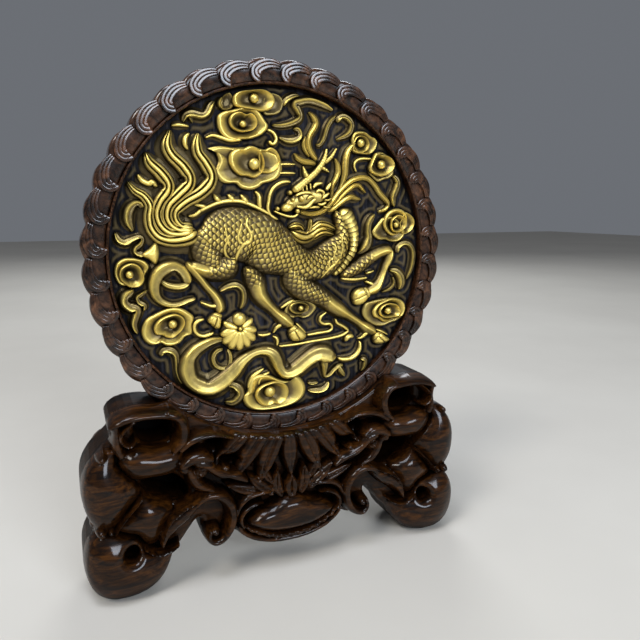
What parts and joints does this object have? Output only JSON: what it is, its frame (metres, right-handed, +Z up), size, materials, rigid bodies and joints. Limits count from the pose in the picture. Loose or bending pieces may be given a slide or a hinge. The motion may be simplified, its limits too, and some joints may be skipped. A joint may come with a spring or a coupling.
{
  "type": "chinese table screen",
  "caption": "Round carved hardwood panel with a gilded qilin among clouds inside a wave border, standing on edge in the slot of a pierced carved stand and lifting out of it.",
  "frame": {"origin": "middle of the object's box, on the table plane under the feet", "axes": "+X to the viewer's right, -Y towards the viewer of the carved face, +Z up"},
  "size_m": [0.2396, 0.0498, 0.2994],
  "materials": {
    "stand_wood": "dark red-brown hardwood, polished",
    "border_wood": "dark brown hardwood, waxed",
    "field_wood": "near-black stained hardwood, satin",
    "gilt_carving": "carved wood, gilded, worn dark in the recesses"
  },
  "bodies": {
    "stand": {"front_board": "stand_wood", "back_board": "stand_wood", "left_upright": "stand_wood", "right_upright": "stand_wood", "seat_rail": "stand_wood", "dowels": "stand_wood", "left_scroll": "stand_wood", "right_scroll": "stand_wood", "left_branch": "stand_wood", "right_branch": "stand_wood", "leaf_fan": "stand_wood", "pendant": "stand_wood"},
    "panel": {"ground_board": "field_wood", "wave_border": "border_wood", "bead_ring": "border_wood", "qilin_torso": "gilt_carving", "neck_plates": "gilt_carving", "qilin_head": "gilt_carving", "antlers": "gilt_carving", "mane": "gilt_carving", "forelock": "gilt_carving", "feeler": "gilt_carving", "beard": "gilt_carving", "back_crest": "gilt_carving", "flame_tail": "gilt_carving", "flame_tips": "gilt_carving", "left_hind_leg": "gilt_carving", "right_hind_leg": "gilt_carving", "raised_foreleg": "gilt_carving", "stretched_foreleg": "gilt_carving", "leg_flames": "gilt_carving", "ribboned_ball": "gilt_carving", "top_cloud": "gilt_carving", "scroll_cloud": "gilt_carving", "large_cloud": "gilt_carving", "mane_cloud": "gilt_carving", "upper_right_cloud": "gilt_carving", "right_cloud": "gilt_carving", "lower_right_cloud": "gilt_carving", "small_cloud": "gilt_carving", "left_cloud": "gilt_carving", "lower_left_cloud": "gilt_carving", "bottom_cloud": "gilt_carving", "left_ribbon": "gilt_carving", "middle_ribbon": "gilt_carving", "bottom_ribbon": "gilt_carving", "right_ribbon": "gilt_carving", "side_ribbon": "gilt_carving", "upper_left_wisps": "gilt_carving", "upper_wisps": "gilt_carving", "upper_right_wisps": "gilt_carving", "right_wisps": "gilt_carving", "left_wisps": "gilt_carving", "lower_left_wisps": "gilt_carving", "hoof_loop": "gilt_carving", "left_hook": "gilt_carving", "lower_wisps": "gilt_carving", "lower_loop": "gilt_carving", "ground_lines": "gilt_carving"}
  },
  "joints": [
    {"name": "panel_lift", "type": "slide", "parent": "stand", "child": "panel", "axis": [0, 0, 1], "range_m": [0, 0.06]}
  ]
}
